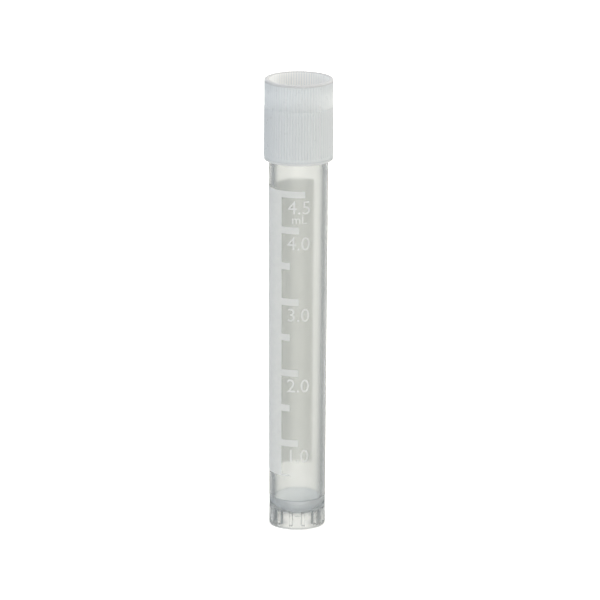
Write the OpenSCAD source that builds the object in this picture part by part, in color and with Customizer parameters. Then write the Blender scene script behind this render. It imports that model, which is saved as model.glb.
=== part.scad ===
// Self-standing cryogenic vial with a screw cap.
// Millimetres, +Z up. The origin is the centre of the standing face, and the vial's axis is Z.
// Each piece is a revolved half section: in a section x is the radius and y is the height.

/* [Overall] */
// Height from the standing face to the cap's rim, with the cap screwed home
total_h = 92; // [70:0.5:120]

/* [Tube] */
// Outer diameter of the body at its shoulder, under the cap
body_d = 11.9; // [9.8:0.1:16]
// Draft of the body: how much slimmer its radius is just above the foot
body_draft = 0.26; // [0.1:0.02:0.6]
// Thickness of the body's wall
body_wall = 1.15; // [0.8:0.05:1.5]
// Width of the shoulder, from the body in to the root of the neck's thread
shoulder_w = 0.5; // [0.4:0.05:0.6]
// Radius of the two rounded edges of the mouth
mouth_round = 0.2; // [0.1:0.05:0.25]
// Height of the bevel between the body and the neck
shoulder_bevel = 0.3; // [0.1:0.05:0.4]

/* [Round bottom] */
// Height of the edge where the wall meets the round bottom
bowl_edge_z = 6; // [5:0.1:9]
// Depth of the round bottom below that edge
bowl_depth = 3.2; // [2:0.1:4.2]
// Thickness of the bottom
bottom_wall = 1.15; // [0.8:0.05:1.5]

/* [Foot] */
// Step in from the body to the foot
foot_step = 0.05; // [0.02:0.01:0.2]
// Height of the foot, up to the step where the body starts
foot_h = 6.1; // [5.5:0.1:8]
// Thickness of the foot's skirt
skirt_wall = 1.02; // [0.7:0.02:1.3]
// Height of the pocket inside the skirt
pocket_h = 3.7; // [3:0.1:4.5]
// Radius of the foot's outer lower edge
foot_round = 0.25; // [0.1:0.05:0.4]
// Bevel of the foot's inner lower edge
foot_bevel = 0.25; // [0.1:0.05:0.4]

/* [Locking ribs] */
// Number of ribs inside the skirt
rib_count = 12; // [6:1:16]
// Width of a rib
rib_w = 0.62; // [0.3:0.02:0.9]
// How far a rib stands in from the skirt
rib_depth = 0.55; // [0.3:0.05:0.9]
// Height of the ribs' lower ends above the standing face
rib_start_z = 0.8; // [0.4:0.1:1.6]

/* [Cap] */
// Height of the cap
cap_h = 15.7; // [14:0.1:20]
// Thickness of the cap's skirt at its lower edge
cap_wall = 0.83; // [0.6:0.01:1.5]
// Draft of the cap: how much slimmer its radius is at the deck
cap_draft = 0.06; // [0.02:0.01:0.2]
// Step in from the skirt to the rim round the top recess
rim_step = 0.04; // [0.02:0.01:0.2]
// Thickness of the rim
rim_wall = 0.93; // [0.6:0.01:1.5]
// Depth of the top recess
recess_depth = 5.5; // [4.5:0.1:7]
// Thickness of the deck under the recess
deck_t = 1.2; // [0.8:0.1:1.6]
// How far the cap's skirt reaches down past the tube's shoulder
skirt_overlap = 1.5; // [0.5:0.1:3]
// Radius of the rim's outer edge
rim_round = 0.3; // [0.1:0.05:0.4]
// Bevel of the recess's mouth
recess_bevel = 0.2; // [0.1:0.05:0.4]
// Bevel of the skirt's inner lower edge
skirt_bevel = 0.2; // [0.1:0.05:0.4]
// Radius of the skirt's outer lower edge
cap_foot_round = 0.2; // [0.1:0.05:0.4]

/* [Grip] */
// Number of fine flutes round the cap
grip_count = 72; // [36:1:90]
// Radius of one flute
flute_r = 0.2; // [0.1:0.02:0.25]
// Depth of a flute
flute_depth = 0.1; // [0.04:0.01:0.15]
// Plain band left above the cap's lower edge
grip_start = 0.6; // [0.4:0.1:2]
// Plain band left under the rim
grip_stop = 0.5; // [0.5:0.1:2]

/* [Seal] */
// Thickness of the seal ring
seal_t = 0.9; // [0.5:0.1:1.5]
// How far the seal ring reaches in past the tube's bore
seal_lap = 0.65; // [0.2:0.05:1]
// How far the cap's spigot reaches into the seal ring
spigot_h = 0.7; // [0.3:0.1:0.8]
// Radius of the bead that keeps the seal ring in the cap
bead_r = 0.3; // [0.2:0.05:0.4]

/* [Moulding gates] */
// Diameter of the nub left by the gate, under the round bottom and on the cap's deck
gate_d = 1.6; // [0.8:0.1:2.5]
// Height of a nub
gate_h = 0.2; // [0.1:0.05:0.3]
// Diameter of the well that keeps the cap's nub below its deck
gate_well_d = 2.6; // [2.6:0.1:4]
// Depth of that well
gate_well_depth = 0.35; // [0.3:0.05:0.5]

/* [Clearances] */
// Radial clearance between the tube's body and the cap's bore
body_clear = 0.15; // [0.1:0.05:0.3]
// Radial clearance round the seal ring, in the cap's bore and round the spigot
seal_clear = 0.15; // [0.1:0.05:0.3]
// Gap between the seal ring and the bead under it
bead_gap = 0.05; // [0.02:0.01:0.2]

/* [Hidden] */
$fn = 96;
over = 0.5; // how far a cutting shape runs past what it cuts

// Heights, from the cap's rim down
deck_top_z = total_h - recess_depth;
deck_under_z = deck_top_z - deck_t;
mouth_z = deck_under_z - seal_t;
cap_foot_z = total_h - cap_h;
shoulder_z = cap_foot_z + skirt_overlap;

// Radii of the tube
body_top_r = body_d / 2;
body_foot_r = body_top_r - body_draft;
bore_top_r = body_top_r - body_wall;
bore_foot_r = body_foot_r - body_wall;
neck_r = body_top_r - shoulder_w;
foot_r = body_foot_r - foot_step;
skirt_in_r = foot_r - skirt_wall;

// Radii of the cap and the seal ring
cap_bore_r = body_top_r + body_clear;
cap_base_r = cap_bore_r + cap_wall;
cap_deck_r = cap_base_r - cap_draft;
rim_r = cap_deck_r - rim_step;
recess_r = rim_r - rim_wall;
seal_hole_r = bore_top_r - seal_lap;

// The round bottom: a sphere's cap whose edge meets the bore, and its outer face at one thickness from it
bowl_r = (bore_foot_r * bore_foot_r + bowl_depth * bowl_depth) / (2 * bowl_depth);
bowl_centre_z = bowl_edge_z - bowl_depth + bowl_r;
dome_r = bowl_r + bottom_wall;

// Takes a square corner off a section and leaves a true arc.
// The corner is at [x, z]. side_x and side_z say on which side of the solid it lies, 1 or -1
module round_off(x, z, r, side_x, side_z) {
    translate([x - side_x * r, z - side_z * r])
        difference() {
            translate([side_x > 0 ? 0 : -r - over, side_z > 0 ? 0 : -r - over]) square(r + over);
            circle(r);
        }
}

// Takes a square corner off a section and leaves a bevel of 45 degrees, given as above
module bevel_off(x, z, size, side_x, side_z) {
    translate([x, z])
        polygon([
            [-side_x * size - side_x * over, side_z * over],
            [side_x * over, side_z * over],
            [side_x * over, -side_z * size - side_z * over]
        ]);
}

// Outside of the tube: foot, step, drafted body, bevelled shoulder and neck
module tube_outline() {
    square([foot_r, foot_h]);
    polygon([
        [0, foot_h], [body_foot_r, foot_h], [body_top_r, shoulder_z - shoulder_bevel],
        [body_top_r - shoulder_bevel, shoulder_z], [neck_r, shoulder_z],
        [neck_r, mouth_z], [0, mouth_z]
    ]);
}

// Inside of the tube: drafted bore, and the bowl of the round bottom
module tube_bore() {
    polygon([
        [0, bowl_edge_z], [bore_foot_r, bowl_edge_z], [bore_top_r, shoulder_z],
        [bore_top_r, mouth_z + over], [0, mouth_z + over]
    ]);
    intersection() {
        translate([0, bowl_centre_z]) circle(bowl_r);
        square([bore_foot_r, bowl_edge_z]);
    }
}

// Pocket inside the foot's skirt, up to the round bottom's outer face
module foot_pocket() {
    difference() {
        translate([0, -over]) square([skirt_in_r, pocket_h + over]);
        translate([0, bowl_centre_z]) circle(dome_r);
    }
}

module tube_section() {
    difference() {
        tube_outline();
        tube_bore();
        foot_pocket();
        round_off(foot_r, 0, foot_round, 1, -1);
        bevel_off(skirt_in_r, 0, foot_bevel, -1, -1);
        round_off(neck_r, mouth_z, mouth_round, 1, 1);
        round_off(bore_top_r, mouth_z, mouth_round, -1, 1);
    }
}

// One locking rib: a bevelled lower end, and an upper end that runs into the bottom's web
module locking_rib() {
    rib_r = skirt_in_r - rib_depth;
    root_r = skirt_in_r + skirt_wall / 2;
    top_z = (pocket_h + bowl_edge_z) / 2;
    translate([0, rib_w / 2, 0])
        rotate([90, 0, 0])
            linear_extrude(rib_w)
                polygon([
                    [root_r, rib_start_z], [skirt_in_r, rib_start_z], [rib_r, rib_start_z + rib_depth],
                    [rib_r, top_z], [root_r, top_z]
                ]);
}

// Nub left by a moulding gate. It stands up from height z, and its root reaches down into the wall
module gate_nub(z) {
    root = bottom_wall / 4;
    translate([0, 0, z - root]) cylinder(d = gate_d, h = root + gate_h);
}

module vial_tube() {
    color("gainsboro") {
        rotate_extrude() tube_section();
        mirror([0, 0, 1]) gate_nub(dome_r - bowl_centre_z);
        for (i = [0 : rib_count - 1])
            rotate([0, 0, (i + 0.5) * 360 / rib_count - 90]) locking_rib();
    }
}

// Outside of the cap: drafted skirt, then the straight rim round the recess
module cap_outline() {
    polygon([
        [0, cap_foot_z], [cap_base_r, cap_foot_z], [cap_deck_r, deck_top_z],
        [rim_r, deck_top_z], [rim_r, total_h], [0, total_h]
    ]);
}

module cap_section() {
    difference() {
        cap_outline();
        translate([0, deck_top_z]) square([recess_r, recess_depth + over]);
        translate([0, deck_top_z - gate_well_depth]) square([gate_well_d / 2, gate_well_depth + over]);
        translate([0, cap_foot_z - over]) square([cap_bore_r, cap_h - recess_depth - deck_t + over]);
        round_off(rim_r, total_h, rim_round, 1, 1);
        bevel_off(recess_r, total_h, recess_bevel, -1, 1);
        round_off(cap_base_r, cap_foot_z, cap_foot_round, 1, -1);
        bevel_off(cap_bore_r, cap_foot_z, skirt_bevel, -1, -1);
    }
    // Spigot through the seal ring
    translate([0, deck_under_z - spigot_h])
        square([seal_hole_r - seal_clear, spigot_h + deck_t / 2]);
    // Bead that keeps the seal ring in the cap
    translate([cap_bore_r, mouth_z - bead_gap - bead_r]) circle(bead_r);
}

// One flute of the grip: a slim rod that leans with the skirt's draft and cuts into it
module grip_flute() {
    lean = atan(cap_draft / (deck_top_z - cap_foot_z));
    translate([cap_base_r + flute_r - flute_depth, 0, cap_foot_z + grip_start])
        rotate([0, -lean, 0])
            cylinder(r = flute_r, h = cap_h - grip_start - grip_stop, $fn = 24);
}

module screw_cap() {
    color("whitesmoke") {
        difference() {
            rotate_extrude() cap_section();
            for (i = [0 : grip_count - 1]) rotate([0, 0, i * 360 / grip_count]) grip_flute();
        }
        gate_nub(deck_top_z - gate_well_depth);
    }
}

module seal_ring() {
    color("silver")
        rotate_extrude()
            translate([seal_hole_r, mouth_z])
                square([cap_bore_r - seal_clear - seal_hole_r, seal_t]);
}

vial_tube();
screw_cap();
seal_ring();
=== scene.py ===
# %% [markdown]
# # A screw-capped sample vial
#
# This lesson builds the looks of a tall plastic vial that stands on its own foot: a clear moulded tube,
# a milky screw cap with fine grip lines, a silicone washer under the cap, and white printed graduations.
# The engineering model already has every size. It is loaded first and nothing here moves it: each piece is
# made in its place, in metres, with +Z up along the vial's axis and -Y towards the viewer.

# %% Load the engineering model
import math

import bmesh
import bpy
from mathutils import Matrix, Vector


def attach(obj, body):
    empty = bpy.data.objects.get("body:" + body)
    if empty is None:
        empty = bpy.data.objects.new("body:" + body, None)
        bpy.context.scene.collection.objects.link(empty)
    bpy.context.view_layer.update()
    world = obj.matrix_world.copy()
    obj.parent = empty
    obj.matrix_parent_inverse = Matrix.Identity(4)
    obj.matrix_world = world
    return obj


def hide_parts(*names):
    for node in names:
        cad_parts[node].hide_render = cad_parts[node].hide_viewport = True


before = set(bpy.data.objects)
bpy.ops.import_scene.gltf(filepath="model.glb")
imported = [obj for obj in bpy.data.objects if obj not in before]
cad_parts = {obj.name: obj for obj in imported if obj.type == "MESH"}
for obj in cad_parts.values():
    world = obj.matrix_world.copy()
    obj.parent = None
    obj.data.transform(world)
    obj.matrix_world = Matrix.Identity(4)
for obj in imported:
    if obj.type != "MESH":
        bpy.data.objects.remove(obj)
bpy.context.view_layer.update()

MM = 0.001

# %% [markdown]
# ## The camera
#
# A product is shown with a long lens from far away, so that its sides stay nearly parallel. Here the lens
# stands 0.79 m off and looks down by a little under sixteen degrees, enough to see into the cap. A quarter
# of a degree of roll leans the vial's top to the right, as a hand-levelled camera does.

# %% Camera
CAMERA_TILT = math.radians(15.75)
CAMERA_ROLL = math.radians(0.26)
CAMERA_DISTANCE = 0.79
AIM = Vector((0.4 * MM, 0, 46.7 * MM))
FOCAL_LENGTH_MM = 237.5
SENSOR_WIDTH_MM = 36
NEAREST = 0.05
FARTHEST = 20

lens = bpy.data.cameras.new("product_lens")
lens.sensor_width = SENSOR_WIDTH_MM
lens.lens = FOCAL_LENGTH_MM
lens.clip_start = NEAREST
lens.clip_end = FARTHEST
camera = bpy.data.objects.new("camera", lens)
bpy.context.scene.collection.objects.link(camera)
towards_camera = Vector((0, -math.cos(CAMERA_TILT), math.sin(CAMERA_TILT)))
camera.matrix_world = (
    Matrix.Translation(AIM + towards_camera * CAMERA_DISTANCE)
    @ Matrix.Rotation(math.radians(90) - CAMERA_TILT, 4, "X")
    @ Matrix.Rotation(CAMERA_ROLL, 4, "Z")
)
bpy.context.scene.camera = camera
print("camera at, mm:", [round(c / MM) for c in camera.location])

# %% [markdown]
# ## Colours and nodes
#
# Colours are written as the sRGB hex values that a colour picker shows, and one function turns them to the
# linear values that the renderer works with. One more function adds a shader node, sets its settings and
# joins it to others, so each material below reads as a short list of nodes.


# %% Helpers for materials
def linear(hex_colour, alpha=1.0):
    """The linear colour of an sRGB hex value such as "#f2f4f4"."""
    parts = [int(hex_colour[i : i + 2], 16) / 255 for i in (1, 3, 5)]
    return (*[p / 12.92 if p <= 0.04045 else ((p + 0.055) / 1.055) ** 2.4 for p in parts], alpha)


def add(tree, kind, inputs=None, **settings):
    """A shader node: inputs maps a socket's name to a value, or to the output it is joined to."""
    made = tree.nodes.new("ShaderNode" + kind)
    for name, value in settings.items():
        setattr(made, name, value)
    for name, value in (inputs or {}).items():
        if isinstance(value, bpy.types.NodeSocket):
            tree.links.new(value, made.inputs[name])
        else:
            made.inputs[name].default_value = value
    return made


def material(name):
    """An empty material, its node tree and its output node."""
    made = bpy.data.materials.new(name)
    made.use_nodes = True
    made.node_tree.nodes.clear()
    return made, made.node_tree, add(made.node_tree, "OutputMaterial")


# %% [markdown]
# ## The floor and the light
#
# Clear plastic shows what lies around it, bent by its walls, so the light is set up as for glassware. The
# vial stands on a sheet that gives out light of its own, like a light table. The sheet is bright in a lane
# that runs behind and before the vial, and this lane is what the viewer sees through the tube. It is a
# little brighter far away. A small pool of light round the foot reaches the rounded bottom from below. To
# both sides the sheet is dark, as if black cards lay there, and the walls of the tube gather that darkness
# into the lines that draw its edges. Seen with nothing in between, the sheet is burnt out to white.
#
# A pale sky all round, cooler on the left and warmer on the right, lights the ink and the cap. One small
# soft lamp at the right, a little behind the vial, gives the round forms their lighter side.

# %% The sheet's lane of light
LANE_GLOW_NEAR = 0.6
LANE_GLOW_FAR = 0.72
LANE_FAR = 200 * MM
SIDE_GLOW = 0.03
LANE_HALF_WIDTH = 5 * MM
LANE_HALF_ANGLE = math.radians(15)
SIDE_FROM_ANGLE = math.radians(38)

light_table, tree, out = material("Light_table_sheet")
place = add(tree, "TexCoord")
apart = add(tree, "SeparateXYZ", {"Vector": place.outputs["Object"]})
aside = add(tree, "Math", {0: apart.outputs["X"]}, operation="ABSOLUTE")
along = add(tree, "Math", {0: apart.outputs["Y"]}, operation="ABSOLUTE")
behind = add(tree, "Math", {0: along.outputs["Value"], 1: LANE_HALF_WIDTH})
turned = add(tree, "Math", {0: aside.outputs["Value"], 1: behind.outputs["Value"]}, operation="ARCTAN2")
lane = add(tree, "MapRange", {
    "Value": along.outputs["Value"],
    "From Max": LANE_FAR,
    "To Min": LANE_GLOW_NEAR,
    "To Max": LANE_GLOW_FAR,
})
glow = add(tree, "MapRange", {
    "Value": turned.outputs["Value"],
    "From Min": LANE_HALF_ANGLE,
    "From Max": SIDE_FROM_ANGLE,
    "To Min": lane.outputs["Result"],
    "To Max": SIDE_GLOW,
}, interpolation_type="SMOOTHSTEP")

# %% [markdown]
# The pool of light fades with the distance from the vial's axis, and it is weaker to the sides than along
# the lane. The brighter one of lane and pool counts. The sheet's own colour is a middle grey, so that the
# light that it throws back adds little.

# %% The sheet's pool of light and its shader
POOL_GLOW = 0.5
POOL_SIDE_GLOW = 0.15
POOL_FROM = 8 * MM
POOL_TO = 20 * MM
BURNT_OUT = 0.8
SHEET_COLOUR = "#969a9f"
SHEET_ROUGHNESS = 0.6
GLOW_COLOUR = "#fffdf6"

away = add(tree, "VectorMath", {0: place.outputs["Object"]}, operation="LENGTH")
middle = add(tree, "MapRange", {
    "Value": turned.outputs["Value"],
    "From Min": LANE_HALF_ANGLE,
    "From Max": SIDE_FROM_ANGLE,
    "To Min": POOL_GLOW,
    "To Max": POOL_SIDE_GLOW,
}, interpolation_type="SMOOTHSTEP")
pool = add(tree, "MapRange", {
    "Value": away.outputs["Value"],
    "From Min": POOL_FROM,
    "From Max": POOL_TO,
    "To Min": middle.outputs["Result"],
    "To Max": 0.0,
}, interpolation_type="SMOOTHSTEP")
lit = add(tree, "Math", {0: glow.outputs["Result"], 1: pool.outputs["Result"]}, operation="MAXIMUM")
seen = add(tree, "LightPath")
given = add(tree, "Math", {
    0: seen.outputs["Is Camera Ray"],
    1: BURNT_OUT,
    2: lit.outputs["Value"],
}, operation="MULTIPLY_ADD")
sheet = add(tree, "BsdfPrincipled", {
    "Base Color": linear(SHEET_COLOUR),
    "Roughness": SHEET_ROUGHNESS,
    "Emission Color": linear(GLOW_COLOUR),
    "Emission Strength": given.outputs["Value"],
})
tree.links.new(sheet.outputs["BSDF"], out.inputs["Surface"])

# %% Floor
FLOOR_SIZE = 3.0

square = bmesh.new()
bmesh.ops.create_grid(square, x_segments=1, y_segments=1, size=FLOOR_SIZE / 2)
floor_mesh = bpy.data.meshes.new("floor")
square.to_mesh(floor_mesh)
square.free()
floor_mesh.materials.append(light_table)
floor = bpy.data.objects.new("floor", floor_mesh)
bpy.context.scene.collection.objects.link(floor)
print("the sheet gives out", LANE_GLOW_FAR, "in its lane and", SIDE_GLOW, "at its sides")

# %% Lamp
LAMP_SIZE = 0.5
LAMP_PLACE = Vector((0.85, 0.35, 0.55))
LAMP_WATTS = 1.5

lamp = bpy.data.lights.new("side_softbox", "AREA")
lamp.shape = "SQUARE"
lamp.size = LAMP_SIZE
lamp.energy = LAMP_WATTS
softbox = bpy.data.objects.new("side_softbox", lamp)
softbox.location = LAMP_PLACE
softbox.rotation_euler = (-LAMP_PLACE).to_track_quat("-Z", "Y").to_euler()
bpy.context.scene.collection.objects.link(softbox)
print("lamp of", LAMP_SIZE, "m,", round(LAMP_PLACE.length, 2), "m away")

# %% Sky
SKY_STRENGTH = 1.12
ZENITH_STRENGTH = 0.82
BRIGHT_SIDE = (1, 0, 0)
COOL_SIDE = "#e6ecf2"
WARM_SIDE = "#fffdf4"

sky = bpy.data.worlds.new("pale_sky")
sky.use_nodes = True
sky.node_tree.nodes.clear()
out = add(sky.node_tree, "OutputWorld")
facing = add(sky.node_tree, "TexCoord")
apart = add(sky.node_tree, "SeparateXYZ", {"Vector": facing.outputs["Generated"]})
towards = add(sky.node_tree, "VectorMath", {
    0: facing.outputs["Generated"],
    1: BRIGHT_SIDE,
}, operation="DOT_PRODUCT")
side = add(sky.node_tree, "MapRange", {"Value": towards.outputs["Value"], "From Min": -1.0, "From Max": 1.0})
tint = add(sky.node_tree, "Mix", {
    "Factor": side.outputs["Result"],
    "A": linear(COOL_SIDE),
    "B": linear(WARM_SIDE),
}, data_type="RGBA")
height = add(sky.node_tree, "MapRange", {
    "Value": apart.outputs["Z"],
    "To Min": SKY_STRENGTH,
    "To Max": ZENITH_STRENGTH,
})
air = add(sky.node_tree, "Background", {
    "Color": tint.outputs["Result"],
    "Strength": height.outputs["Result"],
})
sky.node_tree.links.new(air.outputs["Background"], out.inputs["Surface"])
bpy.context.scene.world = sky
bpy.context.scene.view_settings.view_transform = "Standard"
print("the sky gives", SKY_STRENGTH, "at the horizon and", ZENITH_STRENGTH, "overhead")

# %% [markdown]
# ## Room for the light to bounce
#
# Light that enters a clear wall is thrown to and fro inside it many times before it comes out, so the
# renderer's usual four or twelve bounces would leave the rims and the foot black. It also blurs glossy
# surfaces after the first bounce to save time, and print seen through the tube would then come out half as
# bright as it is, so that saving is turned off.

# %% Bounces
paths = bpy.context.scene.cycles
paths.max_bounces = 64
paths.diffuse_bounces = 24
paths.glossy_bounces = 48
paths.transmission_bounces = 32
paths.transparent_max_bounces = 16
paths.blur_glossy = 0
print("a ray of light may bounce", paths.max_bounces, "times")

# %% [markdown]
# ## From a solid to a section, and from a section to a lathe
#
# Tube, cap and washer are turned forms: each is one outline swept once round the axis. The engineering
# solids are exact but faceted, and light that bends through forty flat facets shows every one. So a copy of
# a solid is cut with a half plane through the axis, between its ribs or flutes. What is left is its outline
# as a chain of edges, and a spin with many more steps turns it into a smooth piece of the same size.

# %% Section and lathe
SAME_POINT = 1e-7
SLIVER = 0.001 * MM
STRAIGHT = math.radians(0.5)


def everything(shape):
    """All corners, edges and faces of a bmesh."""
    return shape.verts[:] + shape.edges[:] + shape.faces[:]


def section(node, angle):
    """The outline of a solid where the half plane at this angle, from +X, cuts it."""
    cut = bmesh.new()
    cut.from_mesh(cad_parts[node].data)
    bmesh.ops.remove_doubles(cut, verts=cut.verts, dist=SAME_POINT)
    bmesh.ops.rotate(cut, verts=cut.verts, cent=(0, 0, 0), matrix=Matrix.Rotation(-angle, 3, "Z"))
    bmesh.ops.bisect_plane(
        cut, geom=everything(cut), plane_co=(0, 0, 0), plane_no=(0, 1, 0), clear_inner=True, clear_outer=True
    )
    bmesh.ops.bisect_plane(
        cut, geom=cut.verts[:] + cut.edges[:], plane_co=(0, 0, 0), plane_no=(1, 0, 0), clear_inner=True
    )
    bmesh.ops.remove_doubles(cut, verts=cut.verts, dist=SLIVER)
    straight = []
    for v in cut.verts:
        if len(v.link_edges) == 2:
            one, two = (e.other_vert(v).co - v.co for e in v.link_edges)
            if one.angle(-two) < STRAIGHT:
                straight.append(v)
    bmesh.ops.dissolve_verts(cut, verts=straight)
    for v in cut.verts:
        v.co.y = 0
    return cut


def lathe(outline, steps):
    """Spins an outline once round the axis into a closed skin that points outwards."""
    bmesh.ops.spin(
        outline, geom=outline.verts[:] + outline.edges[:], cent=(0, 0, 0), axis=(0, 0, 1),
        angle=math.tau, steps=steps, use_merge=True,
    )
    bmesh.ops.remove_doubles(outline, verts=outline.verts, dist=SAME_POINT)
    bmesh.ops.recalc_face_normals(outline, faces=outline.faces)
    return outline


# %% [markdown]
# ## From a shape to a piece
#
# A finished shape becomes an object with its material. It is told which body of the model it rides on, so
# that it moves with that body. Edges that turn by more than a fixed angle stay sharp, and all others are
# shaded smooth.

# %% Piece helper
SHARP = math.radians(35)


def piece(name, shape, finish, body):
    """Makes a bmesh an object with a material, smooth but for its sharp edges, and hangs it on its body."""
    mesh = bpy.data.meshes.new(name)
    shape.to_mesh(mesh)
    shape.free()
    mesh.materials.append(finish)
    mesh.shade_smooth()
    mesh.set_sharp_from_angle(angle=SHARP)
    made = bpy.data.objects.new(name, mesh)
    bpy.context.scene.collection.objects.link(made)
    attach(made, body)
    print(name, "has", len(mesh.polygons), "faces")
    return made


def settle_normals(made):
    """Lets the large faces set the shading of their corners, so flat walls stay flat beside small rounds."""
    weigh = made.modifiers.new("settle_normals", "WEIGHTED_NORMAL")
    weigh.keep_sharp = True
    weigh.weight = 100


# %% [markdown]
# ## Fusing two shapes
#
# Ribs, threads and the cap's lip are made on their own and then fused with the lathed piece, so that each
# moulding is one closed skin. An exact fusing leaves slivers where two surfaces nearly meet, and they are
# merged afterwards.


# %% Fuse helper
def unite(made, tool):
    """Fuses another bmesh into a piece with an exact boolean, and merges the slivers that it leaves."""
    mesh = bpy.data.meshes.new("tool")
    tool.to_mesh(mesh)
    tool.free()
    other = bpy.data.objects.new("tool", mesh)
    bpy.context.scene.collection.objects.link(other)
    fuse = made.modifiers.new("fuse", "BOOLEAN")
    fuse.operation = "UNION"
    fuse.solver = "EXACT"
    fuse.object = other
    evaluated = made.evaluated_get(bpy.context.evaluated_depsgraph_get())
    fused = bpy.data.meshes.new_from_object(evaluated)
    made.modifiers.clear()
    old = made.data
    made.data = fused
    fused.name = made.name
    bpy.data.meshes.remove(old)
    bpy.data.objects.remove(other)
    bpy.data.meshes.remove(mesh)
    merged = bmesh.new()
    merged.from_mesh(fused)
    bmesh.ops.remove_doubles(merged, verts=merged.verts, dist=SLIVER)
    bmesh.ops.dissolve_degenerate(merged, edges=merged.edges, dist=SLIVER)
    merged.to_mesh(fused)
    merged.free()
    fused.shade_smooth()
    fused.set_sharp_from_angle(angle=SHARP)
    print(made.name, "now has", len(fused.polygons), "faces")


# %% [markdown]
# ## The tube's plastic
#
# The tube is natural polypropylene, injection moulded against a polished core. It is clear, but light that
# runs a long way inside the wall is dimmed and turns a little cooler, and this draws the darker edges of the
# tube and of its foot. The skin is glossy, with very shallow ripples that are drawn out along the tube, as
# the steel's polishing marks are.
#
# Not every part of it looks alike. The rounded bottom is formed by the end of the core, which is left matt,
# so it is milky on both of its faces and lets little light straight through. The narrow ring that the foot
# stands on is matt as well. Where the core's round tip meets its shaft, a fine witness line runs round the
# bore, and its dark grey is painted shade for the dark line that the bowl's rim draws there. The sides of
# the ribs are painted greyer than the wall between them, as painted shade for the dark lines that they
# draw. Each of these places is found by its distance from the bowl's centre, from the axis or from the
# floor, so no map has to be painted.

# %% Ripples in the tube's skin
RIPPLE = 2.5 * MM
RIPPLE_FLATTENING = 0.12  # along the tube, so the ripples are drawn out
RIPPLE_DEPTH = 0.012 * MM
RIPPLE_STRENGTH = 0.5
NOISE_LOW = 0.3
NOISE_HIGH = 0.7
GLOSSIEST = 0.13
DULLEST = 0.2

tube_plastic, tree, out = material("Moulded_natural_polypropylene")
place = add(tree, "TexCoord")
stretched = add(tree, "Mapping", {
    "Vector": place.outputs["Object"],
    "Scale": (1, 1, RIPPLE_FLATTENING),
})
ripple = add(tree, "TexNoise", {
    "Vector": stretched.outputs["Vector"],
    "Scale": 1 / RIPPLE,
    "Detail": 2.0,
})
haze = add(tree, "MapRange", {
    "Value": ripple.outputs["Fac"],
    "From Min": NOISE_LOW,
    "From Max": NOISE_HIGH,
    "To Min": GLOSSIEST,
    "To Max": DULLEST,
})

# %% Masks for the bottom, the standing ring and the sides of the ribs
BOWL_CENTRE = 7.62 * MM
BOWL_RIM = 6.0 * MM
BOTTOM_REACH = 6.05 * MM
BOTTOM_RADIUS = 4.6 * MM
STANDING_RING = 0.35 * MM
RIB_FACE_RADIUS = 4.1 * MM
POCKET_TOP = 3.7 * MM

apart = add(tree, "SeparateXYZ", {"Vector": place.outputs["Object"]})
from_centre = add(tree, "VectorMath", {
    0: place.outputs["Object"],
    1: (0, 0, BOWL_CENTRE),
}, operation="DISTANCE")
level = add(tree, "CombineXYZ", {"X": apart.outputs["X"], "Y": apart.outputs["Y"]})
from_axis = add(tree, "VectorMath", {0: level.outputs["Vector"]}, operation="LENGTH")
near = add(tree, "Math", {0: from_centre.outputs["Value"], 1: BOTTOM_REACH}, operation="LESS_THAN")
within = add(tree, "Math", {0: from_axis.outputs["Value"], 1: BOTTOM_RADIUS}, operation="LESS_THAN")
below = add(tree, "Math", {0: apart.outputs["Z"], 1: BOWL_RIM}, operation="LESS_THAN")
inside = add(tree, "Math", {0: near.outputs["Value"], 1: within.outputs["Value"]}, operation="MULTIPLY")
dished = add(tree, "Math", {0: inside.outputs["Value"], 1: below.outputs["Value"]}, operation="MULTIPLY")
standing = add(tree, "Math", {0: apart.outputs["Z"], 1: STANDING_RING}, operation="LESS_THAN")
bottom = add(tree, "Math", {0: dished.outputs["Value"], 1: standing.outputs["Value"]}, operation="MAXIMUM")
beyond = add(tree, "Math", {0: from_axis.outputs["Value"], 1: RIB_FACE_RADIUS}, operation="GREATER_THAN")
pocket = add(tree, "Math", {0: apart.outputs["Z"], 1: POCKET_TOP}, operation="LESS_THAN")
aside = add(tree, "Math", {0: beyond.outputs["Value"], 1: within.outputs["Value"]}, operation="MULTIPLY")
rib_side = add(tree, "Math", {0: aside.outputs["Value"], 1: pocket.outputs["Value"]}, operation="MULTIPLY")

# %% [markdown]
# Each mask is 1 on its own part of the tube and 0 elsewhere. The masks now choose how matt, how clear and
# how dark the plastic is. The inside of the bowl is a shade cooler than its underside.

# %% Roughness, clearness and tones
WALL_COLOUR = "#f9f9f7"
WALL_CLEARNESS = 0.97
BOTTOM_MATT = 0.2
BOTTOM_CLEARNESS = 0.2
BOTTOM_TINT = "#ffffff"
BOWL_TINT = "#f6f9fd"
BOWL_REACH = 5.3 * MM
WITNESS_HALF_WIDTH = 0.08 * MM
# The witness ring is real, and its dark grey is painted shade for the dark line that the bowl's rim draws.
WITNESS_LINE_AND_SHADE_TINT = "#b4b9bd"
# The grey of the rib sides is painted shade, for the dark lines that the ribs draw.
RIB_SIDE_PAINTED_SHADE = "#b8bdc2"

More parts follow.
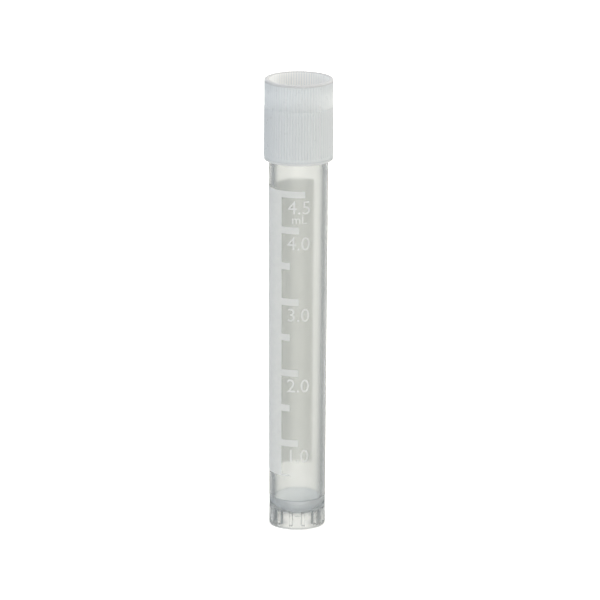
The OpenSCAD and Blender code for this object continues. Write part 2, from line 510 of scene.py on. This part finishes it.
matt = add(tree, "Math", {
    0: bottom.outputs["Value"],
    1: BOTTOM_MATT,
    2: haze.outputs["Result"],
}, operation="MULTIPLY_ADD")
clearness = add(tree, "MapRange", {
    "Value": bottom.outputs["Value"],
    "To Min": WALL_CLEARNESS,
    "To Max": BOTTOM_CLEARNESS,
})
bowl = add(tree, "Math", {0: from_centre.outputs["Value"], 1: BOWL_REACH}, operation="LESS_THAN")
bottom_tone = add(tree, "Mix", {
    "Factor": bowl.outputs["Value"],
    "A": linear(BOTTOM_TINT),
    "B": linear(BOWL_TINT),
}, data_type="RGBA")
clouded = add(tree, "Mix", {
    "Factor": bottom.outputs["Value"],
    "A": linear(WALL_COLOUR),
    "B": bottom_tone.outputs["Result"],
}, data_type="RGBA")
witness = add(tree, "Math", {
    0: apart.outputs["Z"],
    1: BOWL_RIM,
    2: WITNESS_HALF_WIDTH,
}, operation="COMPARE")
on_witness = add(tree, "Math", {
    0: witness.outputs["Value"],
    1: within.outputs["Value"],
}, operation="MULTIPLY")
# Painted shade: the witness ring is darkened.
ringed = add(tree, "Mix", {
    "Factor": on_witness.outputs["Value"],
    "A": clouded.outputs["Result"],
    "B": linear(WITNESS_LINE_AND_SHADE_TINT),
}, data_type="RGBA")
# Painted shade: the sides of the ribs are greyed.
tone = add(tree, "Mix", {
    "Factor": rib_side.outputs["Value"],
    "A": ringed.outputs["Result"],
    "B": linear(RIB_SIDE_PAINTED_SHADE),
}, data_type="RGBA")

# %% Moulded natural polypropylene
POLYPROPYLENE_IOR = 1.49
WALL_DIMMING = 26  # per metre of plastic
WALL_TINT = "#204444"

skin = add(tree, "Bump", {
    "Height": ripple.outputs["Fac"],
    "Strength": RIPPLE_STRENGTH,
    "Distance": RIPPLE_DEPTH,
})
plastic = add(tree, "BsdfPrincipled", {
    "Base Color": tone.outputs["Result"],
    "Roughness": matt.outputs["Value"],
    "IOR": POLYPROPYLENE_IOR,
    "Transmission Weight": clearness.outputs["Result"],
    "Normal": skin.outputs["Normal"],
})
dimming = add(tree, "VolumeAbsorption", {
    "Color": linear(WALL_TINT),
    "Density": WALL_DIMMING,
})
tree.links.new(plastic.outputs["BSDF"], out.inputs["Surface"])
tree.links.new(dimming.outputs["Volume"], out.inputs["Volume"])
print(tube_plastic.name, "has", len(tree.nodes), "nodes")

# %% [markdown]
# ## The tube
#
# The tube, its rounded bottom, the straight foot and the neck are one moulding. Twelve ribs inside the foot
# lock on the star-shaped post of a rack. The outline is cut between two of those ribs and spun, and the ribs
# are added as one set of bars that reach a little way into the foot's wall and into its ceiling.

# %% Tube body
RIB_COUNT = 12
RIB_PITCH = math.tau / RIB_COUNT
TUBE_STEPS = 192
BETWEEN_RIBS = math.radians(-89.7)
OUTSIDE_BORE = 5.5 * MM

tube_outline = section("vial_tube", BETWEEN_RIBS)
wall_edge = max(
    (e for e in tube_outline.edges if min(v.co.x for v in e.verts) > OUTSIDE_BORE),
    key=lambda e: e.calc_length(),
)
wall_foot, wall_top = sorted((v.co.copy() for v in wall_edge.verts), key=lambda c: c.z)
print("outer wall from", [round(c / MM, 3) for c in wall_foot], "to", [round(c / MM, 3) for c in wall_top])

vial_tube = piece("vial_tube_clear", lathe(tube_outline, TUBE_STEPS), tube_plastic, "tube")
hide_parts("vial_tube")

# %% Ribs inside the foot
RIB_WIDTH = 0.62 * MM
RIB_DEPTH = 0.55 * MM
RIB_LOW = 0.8 * MM
SKIRT_INNER = 4.62 * MM
BITE = 0.2 * MM

ribs = bmesh.new()
for i in range(RIB_COUNT):
    angle = RIB_PITCH * (i + 0.5)
    bar = bmesh.ops.create_cube(ribs, size=1)["verts"]
    bmesh.ops.scale(ribs, verts=bar, vec=(RIB_DEPTH + BITE, RIB_WIDTH, POCKET_TOP - RIB_LOW + BITE))
    bmesh.ops.translate(
        ribs, verts=bar,
        vec=(SKIRT_INNER + (BITE - RIB_DEPTH) / 2, 0, (RIB_LOW + POCKET_TOP + BITE) / 2),
    )
    bmesh.ops.rotate(ribs, verts=bar, cent=(0, 0, 0), matrix=Matrix.Rotation(angle, 3, "Z"))
bmesh.ops.recalc_face_normals(ribs, faces=ribs.faces)
unite(vial_tube, ribs)

# %% [markdown]
# ## The screw thread
#
# The neck carries one right-handed ridge that climbs 3 mm in each turn, and the cap's bore carries its
# partner just below it, so the two flanks pull the washer tight. A thread is a small trapezoid that is spun
# and lifted a little at each step. Both ends sink into the wall over an eighth of a turn, as on a real
# mould, and the ridge is fused with the lathe.

# %% Thread helper
THREAD_PITCH = 3.0 * MM
THREAD_HALF_BASE = 0.55 * MM
THREAD_HALF_CREST = 0.25 * MM
THREAD_ROUND = 0.12 * MM
THREAD_BURIED = 0.12 * MM
THREAD_END_BURIED = 0.06 * MM
STEPS_A_TURN = 96
SINK_STEPS = STEPS_A_TURN // 8


def thread(root, crest, front, low, high):
    """A ridge from root radius to crest radius, centred at height front at -Y, from height low to high."""
    start_angle = math.radians(-90) + (low - front) / THREAD_PITCH * math.tau
    turns = (high - low) / THREAD_PITCH
    steps = round(turns * STEPS_A_TURN)
    inwards = 1 if root > crest else -1
    buried = root + inwards * THREAD_BURIED
    ridge = bmesh.new()
    corners = [
        ridge.verts.new((r, 0, low + z))
        for r, z in (
            (buried, -THREAD_HALF_BASE), (root, -THREAD_HALF_BASE), (crest, -THREAD_HALF_CREST),
            (crest, THREAD_HALF_CREST), (root, THREAD_HALF_BASE), (buried, THREAD_HALF_BASE),
        )
    ]
    ridge.faces.new(corners)
    bmesh.ops.bevel(
        ridge, geom=corners[2:4], offset=THREAD_ROUND, affect="VERTICES", segments=3, profile=0.5,
        material=-1,
    )
    bmesh.ops.rotate(
        ridge, verts=ridge.verts, cent=(0, 0, 0), matrix=Matrix.Rotation(start_angle, 3, "Z")
    )
    count = len(ridge.verts)
    bmesh.ops.spin(
        ridge, geom=ridge.faces[:], cent=(0, 0, 0), axis=(0, 0, 1), dvec=(0, 0, THREAD_PITCH / STEPS_A_TURN),
        angle=math.tau * steps / STEPS_A_TURN, steps=steps, use_duplicate=False,
    )
    for v in ridge.verts:
        turned = (math.atan2(v.co.y, v.co.x) - start_angle) / math.tau
        climbed = (v.co.z - low) / THREAD_PITCH
        turned += round(climbed - turned)
        inside = min(turned, steps / STEPS_A_TURN - turned) * STEPS_A_TURN / SINK_STEPS
        share = max(0.0, min(1.0, inside))
        radius = v.co.xy.length
        if (radius - root) * inwards < 0:
            share = share * share * (3 - 2 * share)  # starts and ends softly
            kept = root + inwards * THREAD_END_BURIED * (1 - share) + (radius - root) * share
            v.co.xy *= kept / radius
    bmesh.ops.recalc_face_normals(ridge, faces=ridge.faces)
    print("thread of", round(turns, 2), "turns,", count, "corners,", len(ridge.faces), "faces")
    return ridge


# %% Thread on the neck
NECK_RADIUS = 5.45 * MM
NECK_CREST = 5.9 * MM
NECK_THREAD_FRONT = 80.75 * MM
NECK_THREAD_LOW = 79.0 * MM
NECK_THREAD_HIGH = 83.3 * MM

neck_thread = thread(NECK_RADIUS, NECK_CREST, NECK_THREAD_FRONT, NECK_THREAD_LOW, NECK_THREAD_HIGH)
unite(vial_tube, neck_thread)
settle_normals(vial_tube)

# %% [markdown]
# ## The washer
#
# A flat ring of translucent silicone is pushed up inside the cap, and the tube's mouth presses on it. It is
# stamped from sheet, so its edges are crisp, with just enough rounding to catch a line of light. A trace of
# air is left above and below it, so that no two faces lie in one plane.

# %% Platinum-cured silicone
SILICONE_COLOUR = "#eef1f0"
SILICONE_IOR = 1.41
SILICONE_CLEARNESS = 0.55
SILICONE_GRAIN = 0.3 * MM
SILICONE_SMOOTHEST = 0.35
SILICONE_ROUGHEST = 0.5

seal_silicone, tree, out = material("Stamped_translucent_silicone")
place = add(tree, "TexCoord")
grain = add(tree, "TexNoise", {
    "Vector": place.outputs["Object"],
    "Scale": 1 / SILICONE_GRAIN,
    "Detail": 3.0,
})
matt = add(tree, "MapRange", {
    "Value": grain.outputs["Fac"],
    "To Min": SILICONE_SMOOTHEST,
    "To Max": SILICONE_ROUGHEST,
})
rubber = add(tree, "BsdfPrincipled", {
    "Base Color": linear(SILICONE_COLOUR),
    "Roughness": matt.outputs["Result"],
    "IOR": SILICONE_IOR,
    "Transmission Weight": SILICONE_CLEARNESS,
})
tree.links.new(rubber.outputs["BSDF"], out.inputs["Surface"])
print(seal_silicone.name, "has", len(tree.nodes), "nodes")

# %% Washer
OFF_CORNER = math.radians(0.7)
WASHER_ROUND = 0.08 * MM
WASHER_AIR = 0.01 * MM
WASHER_STEPS = 144

ring = section("seal_ring", OFF_CORNER)
bmesh.ops.bevel(
    ring, geom=ring.verts[:], offset=WASHER_ROUND, affect="VERTICES", segments=3, profile=0.5, material=-1
)
middle = sum((v.co.z for v in ring.verts)) / len(ring.verts)
for v in ring.verts:
    v.co.z += WASHER_AIR if v.co.z < middle else -WASHER_AIR
seal_ring = piece("seal_washer", lathe(ring, WASHER_STEPS), seal_silicone, "seal")
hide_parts("seal_ring")

# %% [markdown]
# ## The cap's plastic
#
# The cap is the same natural polypropylene, but its mould was not polished and it cooled more slowly, so
# it is milky. Light that enters is scattered within a millimetre and comes out again, which softens every
# shadow, and what stands behind the wall can't be made out. The surface is a fine satin.
#
# The soft light inside would wash the fine grooves out, so they get painted shade, a slightly greyer tone
# which follows the angle round the axis. The wall of the recess gets painted light: it is paler, because it
# is thin and light comes through it from behind. The plain band over the grooves and the rim's top edge get
# painted shade and are a little greyer, and the thin lip at the foot gets painted light and is the palest
# part.

# %% Satin of the cap
CLOUD = 1.2 * MM
SATIN_SMOOTHEST = 0.26
SATIN_ROUGHEST = 0.36

cap_plastic, tree, out = material("Moulded_milky_polypropylene")
place = add(tree, "TexCoord")
cloud = add(tree, "TexNoise", {
    "Vector": place.outputs["Object"],
    "Scale": 1 / CLOUD,
    "Detail": 3.0,
})
satin = add(tree, "MapRange", {
    "Value": cloud.outputs["Fac"],
    "From Min": NOISE_LOW,
    "From Max": NOISE_HIGH,
    "To Min": SATIN_SMOOTHEST,
    "To Max": SATIN_ROUGHEST,
})

# %% Masks for the grooves, the recess, the lip and the rim
FLUTE_COUNT = 72
GROOVE_FROM = -0.4  # cosine of the angle within one groove's pitch
RECESS_RADIUS = 6.2 * MM
RECESS_LOW = 86.6 * MM
LIP_TOP = 76.2 * MM
RIM_TOP = 91.45 * MM
RIM_EDGE = 91.85 * MM

apart = add(tree, "SeparateXYZ", {"Vector": place.outputs["Object"]})
around = add(tree, "Math", {0: apart.outputs["Y"], 1: apart.outputs["X"]}, operation="ARCTAN2")
counted = add(tree, "Math", {0: around.outputs["Value"], 1: FLUTE_COUNT}, operation="MULTIPLY")
wave = add(tree, "Math", {0: counted.outputs["Value"]}, operation="COSINE")
groove = add(tree, "MapRange", {
    "Value": wave.outputs["Value"],
    "From Min": GROOVE_FROM,
    "From Max": 1.0,
})
topmost = add(tree, "Math", {0: apart.outputs["Z"], 1: RIM_TOP}, operation="GREATER_THAN")
level = add(tree, "CombineXYZ", {"X": apart.outputs["X"], "Y": apart.outputs["Y"]})
from_axis = add(tree, "VectorMath", {0: level.outputs["Vector"]}, operation="LENGTH")
within = add(tree, "Math", {0: from_axis.outputs["Value"], 1: RECESS_RADIUS}, operation="LESS_THAN")
above = add(tree, "Math", {0: apart.outputs["Z"], 1: RECESS_LOW}, operation="GREATER_THAN")
recess = add(tree, "Math", {0: within.outputs["Value"], 1: above.outputs["Value"]}, operation="MULTIPLY")
lowest = add(tree, "Math", {0: apart.outputs["Z"], 1: LIP_TOP}, operation="LESS_THAN")
outside = add(tree, "Math", {0: from_axis.outputs["Value"], 1: RECESS_RADIUS}, operation="GREATER_THAN")
band = add(tree, "Math", {0: topmost.outputs["Value"], 1: outside.outputs["Value"]}, operation="MULTIPLY")
edge = add(tree, "Math", {0: apart.outputs["Z"], 1: RIM_EDGE}, operation="GREATER_THAN")
rim = add(tree, "Math", {0: band.outputs["Value"], 1: edge.outputs["Value"]}, operation="MAXIMUM")

# %% [markdown]
# The masks lay one tone over the other, from the plain wall to the rim: painted shade in the grooves and on
# the rim, painted light in the recess and on the lip. The plastic itself is one shader, in which all of the
# light that enters is scattered below the surface.

# %% Tones of the cap, with painted light and shade
CAP_WHITE = "#e8eaeb"
# Painted light: the recess wall is made paler, as if lit through from behind.
RECESS_PAINTED_LIGHT = "#f6f4f2"
# Painted shade: the grooves are greyer.
GROOVE_PAINTED_SHADE = "#e5e7e9"
# Painted light: the lip is the palest part.
LIP_PAINTED_LIGHT = "#ffffff"
# Painted shade: the rim's top and the plain band are greyer.
RIM_PAINTED_SHADE = "#d6d5d6"

# The recess is lightened with painted light.
recess_lit = add(tree, "Mix", {
    "Factor": recess.outputs["Value"],
    "A": linear(CAP_WHITE),
    "B": linear(RECESS_PAINTED_LIGHT),
}, data_type="RGBA")
# The grooves are darkened with painted shade.
groove_shaded = add(tree, "Mix", {
    "Factor": groove.outputs["Result"],
    "A": recess_lit.outputs["Result"],
    "B": linear(GROOVE_PAINTED_SHADE),
}, data_type="RGBA")
# The lip is lightened with painted light.
lip_lit = add(tree, "Mix", {
    "Factor": lowest.outputs["Value"],
    "A": groove_shaded.outputs["Result"],
    "B": linear(LIP_PAINTED_LIGHT),
}, data_type="RGBA")
# The rim's top is darkened with painted shade.
tone = add(tree, "Mix", {
    "Factor": rim.outputs["Value"],
    "A": lip_lit.outputs["Result"],
    "B": linear(RIM_PAINTED_SHADE),
}, data_type="RGBA")

# %% Moulded milky polypropylene
CAP_REACH_MM = 1.0
CLOUD_DEPTH = 0.005 * MM
CLOUD_STRENGTH = 0.4

skin = add(tree, "Bump", {
    "Height": cloud.outputs["Fac"],
    "Strength": CLOUD_STRENGTH,
    "Distance": CLOUD_DEPTH,
})
plastic = add(tree, "BsdfPrincipled", {
    "Base Color": tone.outputs["Result"],
    "Roughness": satin.outputs["Result"],
    "IOR": POLYPROPYLENE_IOR,
    "Subsurface Weight": 1.0,
    "Subsurface Radius": (CAP_REACH_MM, CAP_REACH_MM, CAP_REACH_MM),
    "Subsurface Scale": MM,
    "Normal": skin.outputs["Normal"],
})
tree.links.new(plastic.outputs["BSDF"], out.inputs["Surface"])
print(cap_plastic.name, "has", len(tree.nodes), "nodes")

# %% [markdown]
# ## The cap
#
# The cap's outside has seventy-two shallow grooves that give a gloved finger its grip. They are too many to
# cut one by one, so the lathe is given eight steps to each groove and two rings where the grooves begin and
# end. Every wall point between those rings then sinks by what a round cutter would take there.

# %% Cap body with its grip
STEPS_A_FLUTE = 8
CUTTER_RADIUS = 0.2 * MM
FLUTE_DEPTH = 0.1 * MM
FLUTE_LOW = 76.9 * MM
FLUTE_HIGH = 91.5 * MM
RUN_OUT = 0.12 * MM
OUTER_WALL = 6.5 * MM
BETWEEN_FLUTES = math.radians(2.55)

cap = lathe(section("screw_cap", BETWEEN_FLUTES), FLUTE_COUNT * STEPS_A_FLUTE)
for height in (FLUTE_LOW, FLUTE_LOW + RUN_OUT, FLUTE_HIGH - RUN_OUT, FLUTE_HIGH):
    outer = [f for f in cap.faces if all(v.co.xy.length > OUTER_WALL for v in f.verts)]
    edges = dict.fromkeys(e for f in outer for e in f.edges)
    corners = dict.fromkeys(v for f in outer for v in f.verts)
    bmesh.ops.bisect_plane(
        cap, geom=[*outer, *edges, *corners], plane_co=(0, 0, height), plane_no=(0, 0, 1)
    )
pitch = math.tau / FLUTE_COUNT
for v in cap.verts:
    radius = v.co.xy.length
    if radius > OUTER_WALL and FLUTE_LOW + RUN_OUT / 2 < v.co.z < FLUTE_HIGH - RUN_OUT / 2:
        angle = math.atan2(v.co.y, v.co.x)
        aside = radius * math.sin(angle - round(angle / pitch) * pitch)
        if abs(aside) < CUTTER_RADIUS:
            sunk = math.sqrt(CUTTER_RADIUS**2 - aside**2) - (CUTTER_RADIUS - FLUTE_DEPTH)
            v.co.xy *= (radius - max(0.0, sunk)) / radius
screw_cap = piece("screw_cap_milky", cap, cap_plastic, "cap")
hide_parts("screw_cap")

# %% [markdown]
# ## The lip under the cap
#
# Under the grip the cap's skirt ends in a short plain lip that covers the end of the tube's shoulder. It is
# made from an outline of its own, a rectangle with two rounded corners that reaches up into the skirt. The
# outline is spun and then fused with the cap.

# %% Lip under the cap
LIP_INNER = 6.2 * MM
LIP_OUTER = 6.86 * MM
LIP_ROOT = 76.7 * MM
LIP_FOOT = 75.8 * MM
LIP_ROUND = 0.08 * MM
LIP_STEPS = FLUTE_COUNT * 4

lip = bmesh.new()
corners = [
    lip.verts.new((r, 0, z))
    for r, z in (
        (LIP_INNER, LIP_ROOT), (LIP_OUTER, LIP_ROOT), (LIP_OUTER, LIP_FOOT), (LIP_INNER, LIP_FOOT),
    )
]
for one, two in zip(corners, corners[1:] + corners[:1]):
    lip.edges.new((one, two))
bmesh.ops.bevel(
    lip, geom=corners[2:], offset=LIP_ROUND, affect="VERTICES", segments=3, profile=0.5, material=-1,
)
unite(screw_cap, lathe(lip, LIP_STEPS))

# %% Thread in the cap
CAP_BORE = 6.1 * MM
CAP_CREST = 5.6 * MM
PARTNER_BELOW = 0.75 * MM
CAP_THREAD_FRONT = NECK_THREAD_FRONT - PARTNER_BELOW
CAP_THREAD_LOW = 78.0 * MM
CAP_THREAD_HIGH = 83.1 * MM

unite(screw_cap, thread(CAP_BORE, CAP_CREST, CAP_THREAD_FRONT, CAP_THREAD_LOW, CAP_THREAD_HIGH))
settle_normals(screw_cap)

# %% [markdown]
# ## The ink
#
# The graduations and the writing patch are screen printed on the tube's outside with white ink that is made
# for freezers. The ink is a film about two hundredths of a millimetre thick. It is matt and white, and light
# from behind shines through it, so light that scatters in it is given a reach of a tenth of a millimetre.
# The mesh of the screen leaves a fine even tooth that a pencil can mark.

# %% Screen-printed white ink
INK_WHITE = "#ffffff"
INK_THIN = "#f8f9f9"
INK_ROUGHNESS = 0.55
INK_REACH_MM = 0.1
BLOTCH = 1.5 * MM
BLOTCH_FROM = 0.35
BLOTCH_TO = 0.65
SCREEN_PITCH = 0.25 * MM  # a real screen is three times finer, which would not show
TOOTH_DEPTH = 0.01 * MM
TOOTH_STRENGTH = 0.4

print_ink, tree, out = material("Screen_printed_white_ink")
place = add(tree, "TexCoord")
blotch = add(tree, "TexNoise", {
    "Vector": place.outputs["Object"],
    "Scale": 1 / BLOTCH,
    "Detail": 4.0,
})
shade = add(tree, "MapRange", {
    "Value": blotch.outputs["Fac"],
    "From Min": BLOTCH_FROM,
    "From Max": BLOTCH_TO,
})
tone = add(tree, "Mix", {
    "Factor": shade.outputs["Result"],
    "A": linear(INK_THIN),
    "B": linear(INK_WHITE),
}, data_type="RGBA")
tooth = add(tree, "TexVoronoi", {
    "Vector": place.outputs["Object"],
    "Scale": 1 / SCREEN_PITCH,
})
skin = add(tree, "Bump", {
    "Height": tooth.outputs["Distance"],
    "Strength": TOOTH_STRENGTH,
    "Distance": TOOTH_DEPTH,
})
ink = add(tree, "BsdfPrincipled", {
    "Base Color": tone.outputs["Result"],
    "Roughness": INK_ROUGHNESS,
    "Subsurface Weight": 1.0,
    "Subsurface Radius": (INK_REACH_MM, INK_REACH_MM, INK_REACH_MM),
    "Subsurface Scale": MM,
    "Normal": skin.outputs["Normal"],
})
tree.links.new(ink.outputs["BSDF"], out.inputs["Surface"])
print(print_ink.name, "has", len(tree.nodes), "nodes")

# %% [markdown]
# ## Wrapping a flat print round the wall
#
# A print is drawn flat first: x is the distance round the tube, y the height and z the ink's thickness. The
# wrap then turns x into an angle and puts each point on the drafted wall. A flat mesh can only follow the
# curve where it has corners, so it is first cut into narrow strips. The film stands off the wall by a trace
# of air, because ink in full contact would take the light out of the wall and come out far too dark.

# %% Wrap helper
INK_AIR = 0.002 * MM
INK_PROUD = 0.02 * MM
STRIP = 0.3 * MM
PRINT_RADIUS = 5.82 * MM


def wall_radius(height):
    """The outer radius of the drafted tube wall at a height."""
    share = (height - wall_foot.z) / (wall_top.z - wall_foot.z)
    return wall_foot.x + (wall_top.x - wall_foot.x) * share


def slice_at(flat, place, across):
    """Cuts new edges into a flat print where a plane crosses it."""
    bmesh.ops.bisect_plane(flat, geom=everything(flat), plane_co=place, plane_no=across)


def wrap(flat):
    """Cuts a flat print in strips, makes it a solid and lays it round the wall as a thin film."""
    low = min(v.co.x for v in flat.verts)
    high = max(v.co.x for v in flat.verts)
    for i in range(1, math.ceil((high - low) / STRIP)):
        slice_at(flat, (low + i * STRIP, 0, 0), (1, 0, 0))
    bmesh.ops.remove_doubles(flat, verts=flat.verts, dist=SLIVER)
    top = bmesh.ops.extrude_face_region(flat, geom=flat.faces[:])["geom"]
    raised = [g for g in top if isinstance(g, bmesh.types.BMVert)]
    bmesh.ops.translate(flat, verts=raised, vec=(0, 0, MM))
    bmesh.ops.recalc_face_normals(flat, faces=flat.faces)
    for v in flat.verts:
        angle = v.co.x / PRINT_RADIUS - math.radians(90)
        radius = wall_radius(v.co.y) + (INK_PROUD if v.co.z > MM / 2 else INK_AIR)
        v.co = (radius * math.cos(angle), radius * math.sin(angle), v.co.y)
    return flat


# %% [markdown]
# ## The patch and the marks
#
# The writing patch covers the tube's back half. Its right-hand edge, as the viewer sees it on the left,
# carries the marks: a long one for each whole millilitre, a short one for each half, and a longer one still
# at the top. Their places are worked out first, as a height and an end for each mark.

# %% Sizes of the patch and the marks
PATCH_TOP = 70.46 * MM
PATCH_LOW = 11.46 * MM
MARK_HEIGHT = 1.4 * MM
MARK_TOP = 69.82 * MM
MARK_PITCH = 7.34 * MM
MARK_MILLILITRES = 0.5
MARK_COUNT = 9
TOP_MILLILITRES = 4.5


def round_the_tube(degrees):
    """The distance round the tube, from the front, of an angle from the front."""
    return math.radians(degrees) * PRINT_RADIUS


PATCH_EDGE = round_the_tube(-34)
PATCH_FAR = round_the_tube(-218.5)
MINOR_END = round_the_tube(-16)
MAJOR_END = round_the_tube(1.5)
TOP_END = round_the_tube(13)

marks = []
for i in range(MARK_COUNT):
    middle = MARK_TOP - i * MARK_PITCH
    whole = (TOP_MILLILITRES - i * MARK_MILLILITRES) % 1 == 0
    end = TOP_END if i == 0 else MAJOR_END if whole else MINOR_END
    marks.append((middle, end))
print(len(marks), "marks, from", TOP_MILLILITRES, "mL down in steps of", MARK_MILLILITRES, "mL")

# %% [markdown]
# Patch and marks are one print, so they start as one sheet that is cut along all their edges. The parts
# between the marks are then deleted.

# %% Patch and marks
flat_print = bmesh.new()
bmesh.ops.create_grid(flat_print, x_segments=1, y_segments=1, size=0.5)
bmesh.ops.scale(flat_print, verts=flat_print.verts, vec=(TOP_END - PATCH_FAR, PATCH_TOP - PATCH_LOW, 1))
bmesh.ops.translate(
    flat_print, verts=flat_print.verts, vec=((TOP_END + PATCH_FAR) / 2, (PATCH_TOP + PATCH_LOW) / 2, 0)
)
for x in (PATCH_EDGE, MINOR_END, MAJOR_END):
    slice_at(flat_print, (x, 0, 0), (1, 0, 0))
for middle, end in marks:
    for edge in (middle - MARK_HEIGHT / 2, middle + MARK_HEIGHT / 2):
        if PATCH_LOW < edge < PATCH_TOP:
            slice_at(flat_print, (0, edge, 0), (0, 1, 0))
bare = []
for f in flat_print.faces:
    at = f.calc_center_median()
    marked = any(abs(at.y - middle) < MARK_HEIGHT / 2 and at.x < end for middle, end in marks)
    if at.x > PATCH_EDGE and not marked:
        bare.append(f)
bmesh.ops.delete(flat_print, geom=bare, context="FACES")
piece("writing_patch", wrap(flat_print), print_ink, "tube")

# %% [markdown]
# ## The numbers
#
# Plain numbers stand under the long marks, with the unit under the top one. They end on one line, so that
# their decimal points stand under each other. A text object makes them: it is turned into a mesh while it is
# still flat, and then wrapped like the patch.

# %% Numbers
NUMBER_HEIGHT = 2.65 * MM
NUMBER_GAP = 0.6 * MM
UNIT_HEIGHT = 1.7 * MM
CAPITAL_SHARE = 0.69  # a capital's height for a font size of 1
LETTER_CURVE_STEPS = 6
NUMBER_RIGHT = round_the_tube(22.5)
UNIT_RIGHT = round_the_tube(17)
UNIT_BASE = 63.9 * MM


def letters(words, height, right, base):
    """Flat letters of a height, from their right edge and the height they stand on."""
    curve = bpy.data.curves.new("letters", "FONT")
    curve.body = words
    curve.size = height / CAPITAL_SHARE
    curve.resolution_u = LETTER_CURVE_STEPS
    holder = bpy.data.objects.new("letters", curve)
    bpy.context.scene.collection.objects.link(holder)
    mesh = bpy.data.meshes.new_from_object(holder.evaluated_get(bpy.context.evaluated_depsgraph_get()))
    bpy.data.objects.remove(holder)
    bpy.data.curves.remove(curve)
    flat = bmesh.new()
    flat.from_mesh(mesh)
    bpy.data.meshes.remove(mesh)
    bmesh.ops.remove_doubles(flat, verts=flat.verts, dist=SLIVER)
    bmesh.ops.dissolve_degenerate(flat, edges=flat.edges, dist=SLIVER)
    bmesh.ops.translate(
        flat, verts=flat.verts, vec=(right - max(v.co.x for v in flat.verts), base, 0)
    )
    print(words, "is", round((max(v.co.y for v in flat.verts) - base) / MM, 2), "mm tall")
    return flat


for i, (middle, _) in enumerate(marks):
    value = TOP_MILLILITRES - i * MARK_MILLILITRES
    if value % 1 == 0 or i == 0:
        base = middle - MARK_HEIGHT / 2 - NUMBER_GAP - NUMBER_HEIGHT
        shape = wrap(letters(f"{value:.1f}", NUMBER_HEIGHT, NUMBER_RIGHT, base))
        piece(f"number_{value:.1f}", shape, print_ink, "tube")
unit = wrap(letters("mL", UNIT_HEIGHT, UNIT_RIGHT, UNIT_BASE))
piece("unit_millilitres", unit, print_ink, "tube")
